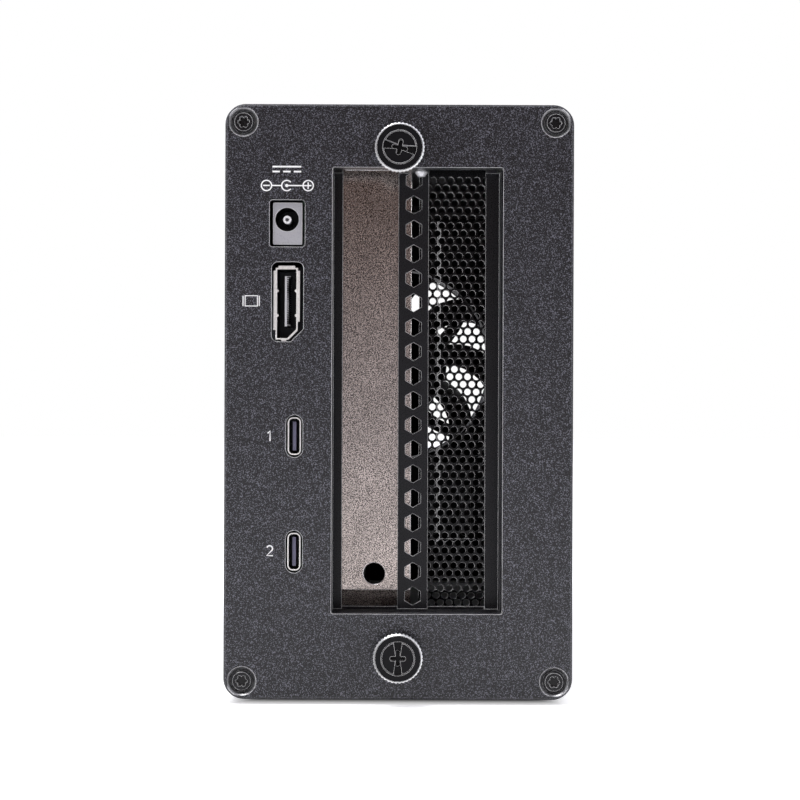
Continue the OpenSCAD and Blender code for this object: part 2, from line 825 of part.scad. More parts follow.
// Impeller: a cup-shaped hub with swept blades
module fan_rotor() {
    hub_y0 = fan_y + 1;
    hub_y1 = wall_y - 3.4;
    color([0.08, 0.08, 0.09]) at_fan() difference() {
        union() {
            taper(0, fan_z, 2 * hub_r - 1.2, 2 * hub_r, hub_y0, hub_y0 + 0.6);
            rod(0, fan_z, 2 * hub_r, hub_y0 + 0.59, hub_y1);
            for (i = [0:blade_count - 1]) translate([0, 0, fan_z]) rotate([0, i * 360 / blade_count, 0])
                blade();
        }
        rod(0, fan_z, 2 * hub_r - 2.4, hub_y0 + 1.6, hub_y1 + 8);
        rod(0, fan_z, shaft_d, hub_y0 + 0.8, hub_y0 + 2);
    }
}

// Ring magnet inside the hub
module fan_magnet() {
    color([0.2, 0.2, 0.22]) at_fan() difference() {
        rod(0, fan_z, 2 * hub_r - 2.4, fan_y + 4, wall_y - 3.6);
        rod(0, fan_z, 2 * hub_r - 5.6, fan_y + 3, wall_y);
    }
}

module fan_shaft() {
    color([0.75, 0.75, 0.78]) at_fan() rod(0, fan_z, shaft_d, fan_y + 1.8, wall_y - 2);
}

// Boards and sockets

module main_board() {
    color([0.05, 0.16, 0.12]) in_case() difference() {
        block([board_x, board_y[0], board_z[0]], [board_x + board_t, board_y[1], board_z[1]]);
        for (p = spacer_yz) translate([board_x - 1, p[0], p[1]]) rotate([0, 90, 0]) cylinder(d = 3.2, h = 4);
    }
}

// Spacers between the main board and its plate
module board_spacers() {
    x0 = board_x + board_t;
    color([0.75, 0.72, 0.5]) in_case() for (p = spacer_yz) translate([x0, p[0], p[1]]) rotate([0, 90, 0])
        difference() {
            cylinder(d = 6, h = plate_x - x0, $fn = 6);
            translate([0, 0, -1]) cylinder(d = 3, h = 5.2);
        }
}

// Screws through the main board into its spacers
module board_screws() {
    color([0.75, 0.75, 0.78]) in_case() for (p = spacer_yz)
        translate([board_x, p[0], p[1]]) rotate([0, 90, 0]) difference() {
            union() {
                translate([0, 0, -1.8]) cylinder(d1 = 4.6, d2 = 5.5, h = 1.8);
                cylinder(d = 3, h = board_t + 3);
            }
            translate([0, 0, -1.8]) cube([3.2, 0.8, 1.6], center = true);
            translate([0, 0, -1.8]) cube([0.8, 3.2, 1.6], center = true);
        }
}

// Power socket housing with a round mouth
module dc_socket() {
    y0 = 0.8;
    color([0.62, 0.63, 0.66]) in_case() difference() {
        union() {
            deep(y0, y0 + 3.4) round_rect(-30.8, dc_z - 5.1, board_x, dc_z + 5.1, 0.3);
            deep(y0 + 3.39, y0 + 14) round_rect(-30.6, dc_z - 4.6, board_x, dc_z + 4.6, 0.3);
        }
        rod(dc_hole[0], dc_hole[1], 5.8, -1, y0 + 11);
    }
}

// Hollow centre pin of the power socket
module dc_socket_pin() {
    color([0.8, 0.8, 0.8]) in_case() difference() {
        rod(dc_hole[0], dc_hole[1], 2, 1.4, 11.8);
        rod(dc_hole[0], dc_hole[1], 0.9, 0, 6);
    }
}

// Outline of the display socket's shell, with one chamfered corner, grown by a margin
module display_outline(grow = 0) {
    x0 = -30.1 - grow;
    x1 = -24.7 + grow;
    z0 = display_z[0] - grow;
    z1 = display_z[1] + grow;
    cut = 2.2;
    polygon([[x0, z0], [x1 - cut, z0], [x1, z0 + cut], [x1, z1], [x0, z1]]);
}

// Shell with folded lips round its mouth and springs on its side walls
module display_shell() {
    y0 = 0.4;
    depth = 15;
    lip_t = 1.6;
    color([0.78, 0.76, 0.7]) in_case() {
        difference() {
            union() {
                deep(y0, y0 + depth) display_outline();
                deep(y0 + 4, y0 + depth) translate([-28.6, display_z[0] - 0.4])
                    square([board_x + 28.6, display_z[1] - display_z[0] + 0.8]);
                block([-30.6, y0, 90], [-30, y0 + lip_t, 104.4]);
                block([-24.8, y0, 92], [-24.2, y0 + lip_t, 104.4]);
                block([-29.4, y0, display_z[1] - 0.01], [-25.4, y0 + lip_t, display_z[1] + 0.5]);
                block([-28.7, y0, display_z[0] - 0.35], [-27.5, y0 + lip_t, display_z[0] + 0.01]);
            }
            deep(-1, y0 + depth - 3) display_outline(-0.35);
        }
        for (x = [-29.7, -25.1], z = [93.5, 99.5]) rod(x, z, 0.7, y0 + 0.2, y0 + 7, $fn = 24);
    }
}

// Contact carrier: a thin spine with a row of teeth and a hook at each end
module display_tongue() {
    y0 = 1.4;
    y1 = 12.4;
    tooth = 0.32;
    color([0.6, 0.6, 0.62]) in_case() union() {
        block([-27.9, y0, 90.9], [-27.45, y1, 103.1]);
        for (i = [0:19]) translate([-27.46, y0, 91.35 + i * 0.58]) cube([0.46, y1 - y0 - 1, tooth]);
        block([-27.46, y0, 90.9], [-26.6, y1, 91.2]);
        block([-27.46, y0, 102.8], [-26.5, y1, 103.1]);
    }
}

// Stadium outline about a socket's centre
module stadium(w, h) {
    round_rect(-w / 2, -h / 2, w / 2, h / 2, w / 2 - 0.001);
}

// Deep-drawn shell of a small reversible socket, with four spring bumps inside
module usb_shell(z) {
    y0 = 0.3;
    depth = 9;
    w = 3.2;
    h = 9.2;
    skin = 0.3;
    color([0.8, 0.8, 0.82]) in_case() translate([usb_x, 0, z]) {
        difference() {
            union() {
                deep(y0, y0 + depth) centred_rect(w, h, 1.3);
                deep(y0 + depth - 2, y0 + depth) translate([-1, -4.4]) square([1 + board_x - usb_x, 8.8]);
            }
            deep(-1, y0 + depth - 1) centred_rect(w - 2 * skin, h - 2 * skin, 1);
        }
        for (x = [-1, 1], v = [-1.9, 1.9]) rod(x * (w / 2 - skin - 0.02), v, 0.6, y0 + 0.8, y0 + 4, $fn = 24);
    }
}

module centred_rect(w, h, r) {
    round_rect(-w / 2, -h / 2, w / 2, h / 2, r);
}

module usb_tongue(z) {
    color([0.45, 0.44, 0.52]) in_case() translate([usb_x, 0, z])
        block([-0.42, 1.1, -3.5], [0.42, 8.3, 3.5]);
}

// Controller package on the main board
module controller_chip() {
    color([0.07, 0.07, 0.08]) in_case() block([board_x - 1.4, 34, 50], [board_x, 52, 68]);
}

// Finned heat sink on the controller
module heat_sink() {
    x1 = board_x - 1.4;
    x0 = x1 - 9;
    color([0.25, 0.25, 0.27]) in_case() difference() {
        block([x0, 28, 42], [x1, 58, 76]);
        for (i = [0:6]) block([x0 - 1, 30.5 + i * 3.8, 41], [x1 - 2, 32.7 + i * 3.8, 77]);
    }
}

// Three upright capacitors with a rolled groove
module capacitors() {
    color([0.3, 0.3, 0.34]) in_case() for (z = [92, 104, 116]) translate([board_x, 60, z]) rotate([0, -90, 0])
        difference() {
            cylinder(d = 8, h = 10);
            translate([0, 0, 1.6]) difference() {
                cylinder(d = 9, h = 0.6);
                cylinder(d = 7.4, h = 0.6);
            }
        }
}

// Two moulded power coils
module coils() {
    color([0.2, 0.2, 0.21]) in_case() for (z = [95, 111]) translate([0, 80, z])
        difference() {
            block([board_x - 5, -5, -5], [board_x, 5, 5]);
            for (a = [-1, 1], b = [-1, 1]) translate([board_x - 6, a * 5, b * 5]) rotate([45, 0, 0])
                cube([8, 2, 2], center = true);
        }
}

// Slot board with its spacers, screws and card connector

module slot_board() {
    color([0.05, 0.16, 0.12]) in_case() difference() {
        block([slot_board_x[0], slot_board_y[0], slot_board_z],
            [slot_board_x[1], slot_board_y[1], slot_board_z + board_t]);
        for (p = spacer_xy) translate([p[0], p[1], slot_board_z - 1]) cylinder(d = 3.2, h = 4);
    }
}

module slot_board_spacers() {
    z0 = tray_z + tray_t;
    color([0.75, 0.72, 0.5]) in_case() for (p = spacer_xy) translate([p[0], p[1], z0]) difference() {
        cylinder(d = 6, h = slot_board_z - z0, $fn = 6);
        translate([0, 0, 3]) cylinder(d = 3, h = 10);
    }
}

module slot_board_screws() {
    top = slot_board_z + board_t;
    color([0.75, 0.75, 0.78]) in_case() for (p = spacer_xy) translate([p[0], p[1], top]) difference() {
        union() {
            cylinder(d1 = 5.5, d2 = 4.6, h = 1.8);
            translate([0, 0, -6]) cylinder(d = 3, h = 6.01);
        }
        translate([0, 0, 1.8]) cube([3.2, 0.8, 1.6], center = true);
        translate([0, 0, 1.8]) cube([0.8, 3.2, 1.6], center = true);
    }
}

// Card connector: a long body with a key rib and a hook for the card at its far end
module card_slot() {
    z0 = slot_board_z + board_t;
    y0 = 30;
    y1 = y0 + 89;
    color([0.06, 0.06, 0.07]) in_case() difference() {
        union() {
            block([card_x - 3.75, y0, z0], [card_x + 3.75, y1, z0 + 11.25]);
            block([card_x - 2.5, y1 - 0.01, z0], [card_x + 2.5, y1 + 5, z0 + 14]);
        }
        block([card_x - 0.9, y0 + 2, z0 + 2], [card_x + 0.9, y0 + 13.2, z0 + 20]);
        block([card_x - 0.9, y0 + 15, z0 + 2], [card_x + 0.9, y1 - 2, z0 + 20]);
        block([card_x - 0.9, y1 - 2.01, z0 + 6], [card_x + 0.9, y1 + 3.4, z0 + 20]);
    }
}

// Right-angle link that joins the main board and the slot board through the plate
module board_link() {
    z0 = slot_board_z + board_t;
    color([0.85, 0.83, 0.78]) in_case() block([board_x + board_t, 62, z0 + 6.6], [-16.25, 102, z0 + 12.4]);
}

// Header of the fan lead on the main board
module fan_header() {
    color([0.9, 0.9, 0.86]) in_case() difference() {
        block([board_x - 5, 96, 114], [board_x, 102, 122]);
        block([board_x - 4.2, 97, 114.8], [board_x - 0.8, 103, 121.2]);
    }
}

module fan_plug() {
    color([0.9, 0.9, 0.86]) in_case() block([board_x - 4.1, 98, 115], [board_x - 0.9, 107, 121]);
}

// Clip on the board plate that holds the lead
module lead_clip() {
    color([0.9, 0.9, 0.86]) in_case() difference() {
        union() {
            rod(lead_x, 118, 4.6, lead_clip_y - 2, lead_clip_y + 2);
            block([lead_x, lead_clip_y - 2, 116.6], [plate_x, lead_clip_y + 2, 119.4]);
            block([plate_x - 1, lead_clip_y - 4, 114], [plate_x, lead_clip_y + 4, 128]);
        }
        rod(lead_x, 118, 2 * lead_r + 0.4, lead_clip_y - 3, lead_clip_y + 3);
        block([lead_x - 3, lead_clip_y - 3, 117.4], [lead_x, lead_clip_y + 3, 118.6]);
    }
}

function two_triangles(a, b, c, d) = [[a, b, c], [a, c, d]];

// Round bundle of wires: an eight-sided tube swept along the lead's points
module fan_lead() {
    sides = 8;
    count = len(lead_points);
    points = [
        for (p = lead_points, k = [0:sides - 1])
            [lead_x + lead_r * cos(k * 360 / sides), p[0], p[1] + lead_r * sin(k * 360 / sides)]
    ];
    walls = [
        for (s = [0:count - 2], k = [0:sides - 1])
            let (n = (k + 1) % sides)
            each two_triangles(s * sides + k, s * sides + n, (s + 1) * sides + n, (s + 1) * sides + k)
    ];
    ends = [
        [for (k = [sides - 1:-1:0]) k],
        [for (k = [0:sides - 1]) (count - 1) * sides + k]
    ];
    color([0.1, 0.1, 0.1]) in_case() polyhedron(points = points, faces = concat(walls, ends));
}

case_sleeve();
rear_panel();
rear_panel_screws();
foot(-foot_x, foot_ys[0]);  // foot_rear_left
foot(foot_x, foot_ys[0]);  // foot_rear_right
foot(-foot_x, foot_ys[1]);  // foot_front_left
foot(foot_x, foot_ys[1]);  // foot_front_right
thumbscrew(thumb_zs[0], 12);  // thumbscrew_top
thumb_clip(thumb_zs[0]);  // thumbscrew_top_clip
thumbscrew(thumb_zs[1], 90);  // thumbscrew_bottom
thumb_clip(thumb_zs[1]);  // thumbscrew_bottom_clip
tray_floor();
board_plate();
tray_rivets();
slot_frame();
clinch_bushes();
slot_cover_blank();
slot_cover_vented();
slot_cover_screws();
front_panel();
front_panel_screws();
status_light();
fan_frame();
fan_screws();
fan_bearing();
fan_stator();
fan_rotor();
fan_magnet();
fan_shaft();
main_board();
board_spacers();
board_screws();
dc_socket();
dc_socket_pin();
display_shell();
display_tongue();
usb_shell(usb_zs[0]);  // usb_shell_upper
usb_tongue(usb_zs[0]);  // usb_tongue_upper
usb_shell(usb_zs[1]);  // usb_shell_lower
usb_tongue(usb_zs[1]);  // usb_tongue_lower
controller_chip();
heat_sink();
capacitors();
coils();
slot_board();
slot_board_spacers();
slot_board_screws();
card_slot();
board_link();
fan_header();
fan_plug();
fan_lead();
lead_clip();
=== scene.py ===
"""Looks of a small two-slot expansion chassis, seen square-on from its rear face."""
import json
import math

import bpy
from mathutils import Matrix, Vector


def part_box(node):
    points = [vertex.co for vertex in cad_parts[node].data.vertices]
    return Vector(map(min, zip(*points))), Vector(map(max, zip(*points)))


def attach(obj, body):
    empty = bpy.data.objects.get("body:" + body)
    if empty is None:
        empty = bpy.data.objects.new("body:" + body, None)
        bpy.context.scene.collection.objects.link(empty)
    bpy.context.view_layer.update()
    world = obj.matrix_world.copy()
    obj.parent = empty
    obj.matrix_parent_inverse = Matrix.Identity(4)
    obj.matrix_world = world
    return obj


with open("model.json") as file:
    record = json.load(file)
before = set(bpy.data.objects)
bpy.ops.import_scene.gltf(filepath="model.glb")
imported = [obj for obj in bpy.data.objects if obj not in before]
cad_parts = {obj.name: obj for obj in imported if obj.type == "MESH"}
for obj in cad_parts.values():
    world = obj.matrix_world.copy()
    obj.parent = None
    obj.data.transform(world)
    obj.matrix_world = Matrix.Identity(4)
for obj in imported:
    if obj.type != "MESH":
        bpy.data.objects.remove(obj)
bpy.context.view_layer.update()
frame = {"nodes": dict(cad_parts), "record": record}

MM = 0.001
NODES = frame["nodes"]
RECORD = frame["record"]
REAR_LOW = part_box("rear_panel")[0]
FRONT_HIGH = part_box("front_panel")[1]
REAR_FACE = REAR_LOW.y

# Camera: distance from the rear face, height above the floor, lens, and the photograph's small roll
CAMERA_DISTANCE = 456 * MM
CAMERA_X = 0.3 * MM
CAMERA_HEIGHT = 74.2 * MM
CAMERA_LENS = 84.3
CAMERA_SENSOR = 36
CAMERA_NEAR = 0.01
CAMERA_ROLL = math.radians(-0.22)


def make_camera():
    data = bpy.data.cameras.new("camera")
    data.lens = CAMERA_LENS
    data.sensor_width = CAMERA_SENSOR
    data.clip_start = CAMERA_NEAR
    camera = bpy.data.objects.new("camera", data)
    camera.location = (CAMERA_X, REAR_FACE - CAMERA_DISTANCE, CAMERA_HEIGHT)
    camera.rotation_euler = (math.pi / 2, CAMERA_ROLL, 0)
    bpy.context.scene.collection.objects.link(camera)
    bpy.context.scene.camera = camera


# Shader building

# How far the bevelled normal has turned from the true one where a worn edge starts and where it is full
EDGE_START = 0.004
EDGE_FULL = 0.03
BEVEL_SAMPLES = 4

# Most values of a noise lie in this span
NOISE_SPAN = (0.3, 0.7)

# Sockets of a mix node that is set to colours: the share and the two colours, and the result
MIX_INPUTS = (0, 6, 7)
MIX_RESULT = 2


class Shader:
    """A material's or world's node tree, with short calls for the nodes used here."""

    def __init__(self, owner, output):
        owner.use_nodes = True
        self.tree = owner.node_tree
        self.tree.nodes.clear()
        self.output = self.tree.nodes.new(output)

    def node(self, kind, settings=None, **inputs):
        made = self.tree.nodes.new(kind)
        for name, value in (settings or {}).items():
            setattr(made, name, value)
        for name, value in inputs.items():
            self.feed(made.inputs[name.replace("_", " ")], value)
        return made

    def feed(self, socket, value):
        if isinstance(value, bpy.types.NodeSocket):
            self.tree.links.new(value, socket)
        else:
            socket.default_value = value

    def math(self, operation, a, b=0.0):
        made = self.node("ShaderNodeMath", {"operation": operation})
        self.feed(made.inputs[0], a)
        self.feed(made.inputs[1], b)
        return made.outputs[0]

    def vector_math(self, operation, a, b=(0, 0, 0)):
        made = self.node("ShaderNodeVectorMath", {"operation": operation})
        self.feed(made.inputs[0], a)
        self.feed(made.inputs[1], b)
        return made.outputs["Value" if operation in ("DOT_PRODUCT", "LENGTH") else "Vector"]

    def place(self):
        return self.node("ShaderNodeTexCoord").outputs["Object"]

    def axis(self, vector, name):
        return self.node("ShaderNodeSeparateXYZ", Vector=vector).outputs[name]

    def along(self, name):
        """The place along one axis, in metres."""
        return self.axis(self.place(), name)

    def depth(self, start, end):
        """0 nearer to the rear face than start, 1 further behind it than end."""
        return self.range(self.along("Y"), REAR_FACE + start, REAR_FACE + end)

    def outside(self, low, high, first, second):
        """Distance outside a box's outline seen along one axis, below zero inside it."""
        off = self.vector_math("SUBTRACT", self.place(), (low + high) / 2)
        off = self.vector_math("SUBTRACT", self.vector_math("ABSOLUTE", off), (high - low) / 2)
        return self.math("MAXIMUM", self.axis(off, first), self.axis(off, second))

    def across(self, vector):
        """A vector's length as seen from the rear, without its part along Y."""
        return self.vector_math("LENGTH", self.vector_math("MULTIPLY", vector, (1, 0, 1)))

    def noise(self, size, detail=2.0, rough=0.5, vector=None):
        """Noise whose features are about size metres across."""
        made = self.node("ShaderNodeTexNoise", Scale=1 / size, Detail=detail, Roughness=rough)
        self.feed(made.inputs["Vector"], vector or self.place())
        return made.outputs["Fac"]

    def range(self, value, low, high, out_low=0.0, out_high=1.0):
        made = self.node("ShaderNodeMapRange", {"clamp": True})
        names = ("Value", "From Min", "From Max", "To Min", "To Max")
        for name, number in zip(names, (value, low, high, out_low, out_high)):
            self.feed(made.inputs[name], number)
        return made.outputs[0]

    def roughness(self, noise, rough, spread, span=NOISE_SPAN):
        """Roughness about a middle value, spread below and above it by the noise."""
        below, above = spread
        return self.range(noise, *span, rough - below, rough + above)

    def fade(self, share, first, second):
        """first where share is 0, second where it is 1."""
        return self.range(share, 0.0, 1.0, first, second)

    def blend(self, share, a, b):
        made = self.node("ShaderNodeMix", {"data_type": "RGBA"})
        for index, value in zip(MIX_INPUTS, (share, a, b)):
            self.feed(made.inputs[index], colour(value) if isinstance(value, tuple) else value)
        return made.outputs[MIX_RESULT]

    def bump(self, height, depth, strength, normal=None):
        made = self.node("ShaderNodeBump", Strength=strength, Distance=depth, Height=height)
        if normal is not None:
            self.feed(made.inputs["Normal"], normal)
        return made.outputs[0]

    def bevelled(self, radius):
        return self.node("ShaderNodeBevel", {"samples": BEVEL_SAMPLES}, Radius=radius).outputs[0]

    def edges(self, radius, start=EDGE_START, full=EDGE_FULL):
        """1 within radius of a sharp edge, 0 on flat faces."""
        true_normal = self.node("ShaderNodeNewGeometry").outputs["Normal"]
        facing = self.vector_math("DOT_PRODUCT", self.bevelled(radius), true_normal)
        return self.range(self.math("SUBTRACT", 1.0, facing), start, full)

    def straight(self, path):
        """1 on rays from the camera, also through clear plastic, 0 on reflected and scattered ones."""
        return self.math("MAXIMUM", path.outputs["Is Camera Ray"], path.outputs["Is Transmission Ray"])

    def surface(self, **inputs):
        made = self.node("ShaderNodeBsdfPrincipled", **inputs)
        self.feed(self.output.inputs["Surface"], made.outputs[0])


def colour(value):
    return (*value, 1.0)


def grey(level, blue=0.0):
    return (level, level, level + blue)


def tinted(level, shares):
    """A grey from a level: the shares of it that are its brightness and its added blue."""
    brightness, blue = shares
    return grey(level * brightness, level * blue)


def scaled(tone, factor):
    return tuple(factor * c for c in tone)


def material(name):
    made = bpy.data.materials.new(name)
    return made, Shader(made, "ShaderNodeOutputMaterial")


# Powder coat

COAT_GRAIN = 0.2 * MM
COAT_GLINT = 0.21 * MM
COAT_DEPTH = 0.06 * MM
COAT_BEVEL = 0.15 * MM
COAT_ROUGH = (0.05, 0.07)
GRAIN_SPLIT = (0.44, 0.56)
DARK_GRAIN = (0.05, 0.1)
PALE_GRAIN = (2.2, 0.7)
GLINT_SPLIT = (0.6, 0.68)
GLINT_TINT = (1.0, 0.2)
EDGE_LINE_BLUE = 0.01
SEAT_METAL = (0.5, 0.5, 0.51)


def powder_coat(name, level, glint_level, edge, edge_r, rough=0.3, shine=0.5, wear_and_highlight_mask=None, seats=False):
    """Black textured powder coat: grains of two greys, pale specks painted as glints, and pale edge lines,
    partly wear and partly painted highlight.

    wear_and_highlight_mask gives the share of the pale edge lines at each place; seats bares the metal
    under the corner screws.
    """
    made, s = material(name)
    grains = s.noise(COAT_GRAIN, detail=0.6, rough=0.6)
    # Pale specks painted into the colour as glints off the coat's grains
    glint_specks = s.range(s.noise(COAT_GLINT, detail=0.0), *GLINT_SPLIT)
    grain_share = s.range(grains, *GRAIN_SPLIT)
    ground = s.blend(grain_share, tinted(level, DARK_GRAIN), tinted(level, PALE_GRAIN))
    ground = s.blend(glint_specks, ground, tinted(glint_level, GLINT_TINT))
    # Pale edge lines: partly wear, partly painted highlight
    wear_and_highlight = s.edges(edge_r)
    if wear_and_highlight_mask:
        wear_and_highlight = s.math("MULTIPLY", wear_and_highlight, wear_and_highlight_mask(s))
    bare = 0.0
    if seats:
        bare = screw_seats(s)
        ground = s.blend(bare, ground, SEAT_METAL)
    ground = s.blend(wear_and_highlight, ground, grey(edge, EDGE_LINE_BLUE))
    s.surface(
        Base_Color=ground,
        Metallic=bare,
        Roughness=s.roughness(grains, rough, COAT_ROUGH),
        Specular_IOR_Level=shine,
        Normal=s.bump(grains, COAT_DEPTH, strength=0.35, normal=s.bevelled(COAT_BEVEL)),
    )
    return made


# Vent hole rims: painted highlight on the edges that turn towards the light at the lower left
VENT_EDGE_R = 0.15 * MM
VENT_TURN = (0.03, 0.2)
LOWER_LEFT = (-0.6, 0, -0.8)


def vent_edge_highlight(s):
    """Painted highlight: full where an edge turns to the lower left, towards the light, none elsewhere."""
    turned = s.vector_math("DOT_PRODUCT", s.bevelled(VENT_EDGE_R), LOWER_LEFT)
    return s.range(turned, *VENT_TURN)


# The slot frame's face lies nearer to the rear face than this, its folds and ledges deeper
FRAME_FACE_DEPTH = (7 * MM, 9 * MM)
FRAME_FACE_HIGHLIGHT = 0.12


def frame_edge_highlight(s):
    """Painted highlight on the edges: faint on the slot frame's face, full on what lies deeper."""
    return s.fade(s.depth(*FRAME_FACE_DEPTH), FRAME_FACE_HIGHLIGHT, 1.0)


# Band along the rear panel's outline, and the depth of what belongs to the rear panel
OUTLINE_BAND = (-1.2 * MM, -0.9 * MM)
OUTLINE_EDGE_LINE = 0.06
PANEL_DEPTH = (5 * MM, 6 * MM)
DEEP_EDGE_LINE = 0.3


def case_wear_and_highlight(s):
    """Pale edge lines, partly wear and partly painted highlight: full on the rear panel's cut-outs, faint
    along its outline and less on what lies deeper.
    """
    low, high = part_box("rear_panel")
    inner = s.range(s.outside(low, high, "X", "Z"), *OUTLINE_BAND, 1.0, OUTLINE_EDGE_LINE)
    return s.math("MULTIPLY", inner, s.fade(s.depth(*PANEL_DEPTH), 1.0, DEEP_EDGE_LINE))


SCREW_HEAD_R = 2.75 * MM
SEAT_R = 3.58 * MM
SEAT_MOUTH = (0.05 * MM, 0.12 * MM)
SEAT_FOOT = (2.5 * MM, 2.6 * MM)


def screw_seats(s):
    """1 on the countersunk seats of the four corner screws, 0 elsewhere."""
    low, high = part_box("rear_panel_screws")
    centre = (low + high) / 2
    reach = (high - low) / 2 - Vector((SCREW_HEAD_R, 0, SCREW_HEAD_R))
    off = s.vector_math("ABSOLUTE", s.vector_math("SUBTRACT", s.place(), (centre.x, 0, centre.z)))
    off = s.vector_math("SUBTRACT", off, (reach.x, 0, reach.z))
    near = s.math("LESS_THAN", s.across(off), SEAT_R)
    cone = s.math("SUBTRACT", s.depth(*SEAT_MOUTH), s.depth(*SEAT_FOOT))
    return s.math("MULTIPLY", near, cone)


# Metal

PAINTED_SHADE_BLUR = 0.3 * MM
METAL_GRAIN = 0.3 * MM
STEEL_STREAK = 0.35 * MM
STEEL_SQUEEZE = 0.06
STEEL_CLOUD = 14 * MM
STEEL_CLOUD_SPAN = (0.35, 0.7)
STEEL_CLOUD_SHARE = 0.25
STEEL_SPLIT = (0.41, 0.59)
STEEL_SPAN = (0.25, 0.75)
STEEL_ROUGH = (0.04, 0.06)
STEEL_DEPTH = 0.012 * MM
STEEL_PAINTED_SHADE = (0.012, 0.012, 0.015)
STEEL_BEVEL = 0.12 * MM

# The plain slot cover: its wide soft pale edges, partly bare metal and partly painted highlight, and the
# height of the step below which it looks duller
COVER_EDGE_R = 0.4 * MM
COVER_EDGE_START = 0.002
COVER_EDGE_FULL = 0.012
COVER_STEP = (27.2 * MM, 27.6 * MM)
COVER_FOOT_METALLIC = 0.62


def bare_steel(name, tone, rough, streak_axis=2, streaks=0.5, contrast=0.62, metallic=1.0,
               grain_size=0.4 * MM, cover_edge=None, painted_shade_from=None):
    """Plain or plated metal with a fine grain drawn along one axis.

    cover_edge is the grey of the plain slot cover's pale edges, partly wear and partly painted highlight;
    painted_shade_from blackens what lies deeper, as painted shade.
    """
    made, s = material(name)
    squeeze = [1.0, 1.0, 1.0]
    squeeze[streak_axis] = STEEL_SQUEEZE
    stretched = s.vector_math("MULTIPLY", s.place(), squeeze)
    drawn = s.noise(STEEL_STREAK, detail=4.0, rough=0.65, vector=stretched)
    grain = s.noise(grain_size, detail=1.0)
    cloud = s.noise(STEEL_CLOUD, detail=3.0)
    mixed = s.math("ADD", s.math("MULTIPLY", drawn, streaks), s.math("MULTIPLY", grain, 1 - streaks))
    darker = scaled(tone, contrast)
    base = s.blend(s.range(mixed, *STEEL_SPLIT), darker, tone)
    base = s.blend(s.range(cloud, *STEEL_CLOUD_SPAN, 0.0, STEEL_CLOUD_SHARE), base, darker)
    bevel = STEEL_BEVEL
    if cover_edge is not None:
        # Pale cover edges: partly bare metal, partly painted highlight
        wear_and_highlight = s.edges(COVER_EDGE_R, COVER_EDGE_START, COVER_EDGE_FULL)
        base = s.blend(wear_and_highlight, base, grey(cover_edge))
        foot = s.range(s.along("Z"), *COVER_STEP, COVER_FOOT_METALLIC, metallic)
        metallic = s.math("MAXIMUM", foot, wear_and_highlight)
        bevel = COVER_EDGE_R
    # Painted shade inside sockets: what lies deeper than painted_shade_from turns near black
    if painted_shade_from is not None:
        base = s.blend(s.depth(painted_shade_from, painted_shade_from + PAINTED_SHADE_BLUR), base, STEEL_PAINTED_SHADE)
    s.surface(
        Base_Color=base,
        Metallic=metallic,
        Roughness=s.roughness(mixed, rough, STEEL_ROUGH, STEEL_SPAN),
        Normal=s.bump(mixed, STEEL_DEPTH, strength=0.3, normal=s.bevelled(bevel)),
    )
    return made


CONTACT_PITCH = 0.54 * MM
CONTACT_METAL = (0.6, 0.6, 0.62)
CONTACT_GAP = (0.4, 0.5)
GAPS_START = 0.36
GAPS_BLUR = 0.05 * MM


def contact_comb(name):
    """Pale contacts with dark gaps on one side of the display socket's tongue."""
    made, s = material(name)
    low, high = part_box("display_tongue")
    share = s.math("FRACT", s.math("MULTIPLY", s.along("Z"), 1 / CONTACT_PITCH))
    start = low.x + GAPS_START * (high.x - low.x)
    right = s.range(s.along("X"), start, start + GAPS_BLUR)
    gaps = s.math("MULTIPLY", s.range(share, *CONTACT_GAP), right)
    s.surface(
        Base_Color=s.blend(gaps, CONTACT_METAL, grey(0.03)),
        Metallic=0.5,
        Roughness=s.roughness(s.noise(METAL_GRAIN), 0.3, (0.0, 0.1)),
    )
    return made


# The bright rim of a thumbscrew, inwards from its radius; it is painted darker towards the left side, as
# shade
RIM_START = 0.42 * MM
RIM_FULL = 0.34 * MM
RIM_REACH = 1 * MM
RIM_LEFT_SHADE = 0.3
THUMB_EDGE_R = 0.11 * MM
THUMB_BLACK = (0.003, 0.003, 0.004)
THUMB_WEAR_AND_HIGHLIGHT = (0.95, 0.95, 0.95)


def thumbscrew_metal(name):
    """Black head with a bright knurled rim, told apart by the distance from the screw's axis."""
    made, s = material(name)
    rim = 0.0
    for node in ("thumbscrew_top", "thumbscrew_bottom"):
        low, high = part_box(node)
        centre = (low + high) / 2
        radius = (high.x - low.x) / 2
        from_axis = s.vector_math("SUBTRACT", s.place(), (centre.x, 0, centre.z))
        far = s.across(from_axis)
        near_rim = s.range(far, radius - RIM_START, radius - RIM_FULL)
        inside = s.math("LESS_THAN", far, radius + RIM_REACH)
        # Painted shade: the rim darkens towards the left side
        lit = s.range(s.axis(from_axis, "X"), -radius, -radius / 2, RIM_LEFT_SHADE, 1.0)
        own_rim = s.math("MULTIPLY", s.math("MULTIPLY", near_rim, inside), lit)
        rim = s.math("MAXIMUM", rim, own_rim)
    grain = s.noise(METAL_GRAIN, detail=2.0)
    # Pale lines along the head's edges: partly wear, partly painted highlight
    dark = s.blend(s.edges(THUMB_EDGE_R), THUMB_BLACK, THUMB_WEAR_AND_HIGHLIGHT)
    s.surface(
        Base_Color=s.blend(rim, dark, grey(1.0)),
        Metallic=rim,
        Specular_IOR_Level=0.2,
        Roughness=s.roughness(grain, 0.3, (0.0, 0.12)),
        Normal=s.bump(grain, 0.01 * MM, strength=0.4),
    )
    return made


COPPER_DARK = (0.20, 0.07, 0.03)
COPPER_PALE = (0.55, 0.24, 0.12)


